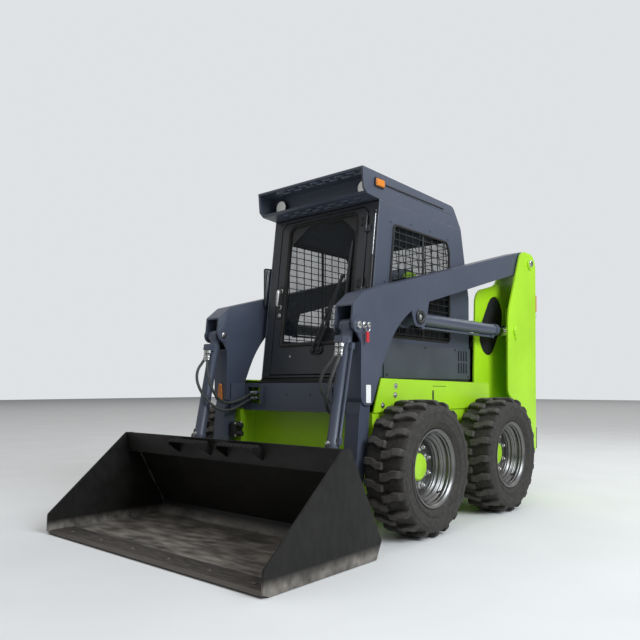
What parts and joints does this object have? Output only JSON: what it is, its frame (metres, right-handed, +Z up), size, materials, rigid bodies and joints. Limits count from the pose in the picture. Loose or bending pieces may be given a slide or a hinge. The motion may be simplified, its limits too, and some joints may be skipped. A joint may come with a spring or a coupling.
{
  "type": "skid-steer loader",
  "caption": "Compact four-wheel skid-steer loader with a raked glazed cab, rear-pivoted lift arms, hydraulic cylinders and a wide digging bucket.",
  "frame": {"origin": "ground level under the middle of the machine's length and width", "axes": "-Y is the front (bucket), +X is the machine's left, +Z is up"},
  "size_m": [1.776, 3.366, 2.159],
  "materials": {
    "green_paint": "gloss lime green paint",
    "slate_paint": "dark slate satin paint",
    "black_paint": "black satin paint",
    "worn_steel": "worn bare steel",
    "pin_steel": "ground steel",
    "rod_chrome": "hard chrome",
    "rim_paint": "grey paint",
    "tyre_rubber": "matt rubber",
    "hose_rubber": "black hose cover",
    "cab_glass": "clear tinted glass",
    "seat_cover": "black seat cover",
    "dark_plastic": "dark moulded plastic",
    "lamp_clear": "clear lamp",
    "lamp_amber": "amber lamp"
  },
  "bodies": {
    "chassis": {"chassis_tub": "green_paint", "fenders": "green_paint", "rear_posts": "green_paint", "pivot_pins": "pin_steel", "axle_housings": "black_paint", "engine_block": "black_paint", "rear_bumper": "black_paint", "cab_floor": "black_paint", "cab_sides": "slate_paint", "cab_front": "slate_paint", "cab_rear": "slate_paint", "cab_roof": "slate_paint", "side_covers": "dark_plastic", "window_screens": "black_paint", "window_glass": "cab_glass", "seat_base": "black_paint", "seat_cushion": "seat_cover", "seat_back": "seat_cover", "controls": "dark_plastic", "work_lamps": "lamp_clear", "marker_lamps": "lamp_amber", "side_mirror": "dark_plastic"},
    "boom": {"lift_arms": "slate_paint", "cross_beam": "slate_paint", "boom_pins": "pin_steel", "hose_left_upper": "hose_rubber", "hose_left_lower": "hose_rubber", "hose_right_upper": "hose_rubber", "hose_right_lower": "hose_rubber"},
    "lift_barrel_pair": {"lift_barrels": "slate_paint"},
    "lift_rod_pair": {"lift_rods": "rod_chrome"},
    "tilt_barrel_pair": {"tilt_barrels": "slate_paint"},
    "tilt_rod_pair": {"tilt_rods": "rod_chrome"},
    "bucket": {"bucket_shell": "black_paint", "cutting_edge": "worn_steel", "bucket_steps": "black_paint", "coupler": "black_paint"},
    "front_door": {"door_frame": "slate_paint", "door_glass": "cab_glass", "door_handle": "pin_steel"},
    "back_door": {"rear_door": "green_paint"},
    "engine_hood": {"hood": "slate_paint"},
    "front_left_wheel": {"tyre_front_left": "tyre_rubber", "wheel_front_left": "rim_paint"},
    "front_right_wheel": {"tyre_front_right": "tyre_rubber", "wheel_front_right": "rim_paint"},
    "rear_left_wheel": {"tyre_rear_left": "tyre_rubber", "wheel_rear_left": "rim_paint"},
    "rear_right_wheel": {"tyre_rear_right": "tyre_rubber", "wheel_rear_right": "rim_paint"}
  },
  "joints": [
    {"name": "boom_lift", "type": "hinge", "parent": "chassis", "child": "boom", "pos_m": [0, 1.545, 1.834], "axis": [-1, 0, 0], "range_deg": [0, 57]},
    {"name": "lift_barrel_swing", "type": "hinge", "parent": "boom", "child": "lift_barrel_pair", "pos_m": [0, -0.069, 1.275], "axis": [-1, 0, 0], "range_deg": [-0.5, 2]},
    {"name": "lift_rod_slide", "type": "slide", "parent": "lift_barrel_pair", "child": "lift_rod_pair", "axis": [0, 1, 0.0007], "range_m": [-0.002, 0.6]},
    {"name": "bucket_tilt", "type": "hinge", "parent": "boom", "child": "bucket", "pos_m": [0, -0.757, 0.18], "axis": [1, 0, 0], "range_deg": [-28, 97]},
    {"name": "tilt_barrel_swing", "type": "hinge", "parent": "boom", "child": "tilt_barrel_pair", "pos_m": [0, -0.707, 1.18], "axis": [-1, 0, 0], "range_deg": [-1, 3]},
    {"name": "tilt_rod_slide", "type": "slide", "parent": "tilt_barrel_pair", "child": "tilt_rod_pair", "axis": [0, -0.2063, -0.9785], "range_m": [-0.085, 0.285]},
    {"name": "front_door_swing", "type": "hinge", "parent": "chassis", "child": "front_door", "pos_m": [0.363, -0.40994, 0.90102], "axis": [0, 0.1271, 0.9919], "range_deg": [0, 92]},
    {"name": "rear_door_swing", "type": "hinge", "parent": "chassis", "child": "back_door", "pos_m": [0.462, 1.671, 0.9], "axis": [0, 0, -1], "range_deg": [0, 100]},
    {"name": "hood_lift", "type": "hinge", "parent": "chassis", "child": "engine_hood", "pos_m": [0, 0.899, 1.33], "axis": [1, 0, 0], "range_deg": [0, 50]},
    {"name": "front_left_spin", "type": "hinge", "parent": "chassis", "child": "front_left_wheel", "pos_m": [0.75, -0.307, 0.3865], "axis": [-1, 0, 0], "continuous": true},
    {"name": "front_right_spin", "type": "hinge", "parent": "chassis", "child": "front_right_wheel", "pos_m": [-0.75, -0.307, 0.3865], "axis": [-1, 0, 0], "continuous": true},
    {"name": "rear_left_spin", "type": "hinge", "parent": "chassis", "child": "rear_left_wheel", "pos_m": [0.75, 0.693, 0.3865], "axis": [-1, 0, 0], "continuous": true},
    {"name": "rear_right_spin", "type": "hinge", "parent": "chassis", "child": "rear_right_wheel", "pos_m": [-0.75, 0.693, 0.3865], "axis": [-1, 0, 0], "continuous": true}
  ],
  "couplings": [
    {"joint": "lift_barrel_swing", "follows": "boom_lift", "ratio": 0.0158},
    {"joint": "lift_rod_slide", "follows": "boom_lift", "m_per_rad": 0.5967},
    {"joint": "tilt_barrel_swing", "follows": "bucket_tilt", "ratio": 0.0186},
    {"joint": "tilt_rod_slide", "follows": "bucket_tilt", "m_per_rad": 0.1647}
  ]
}
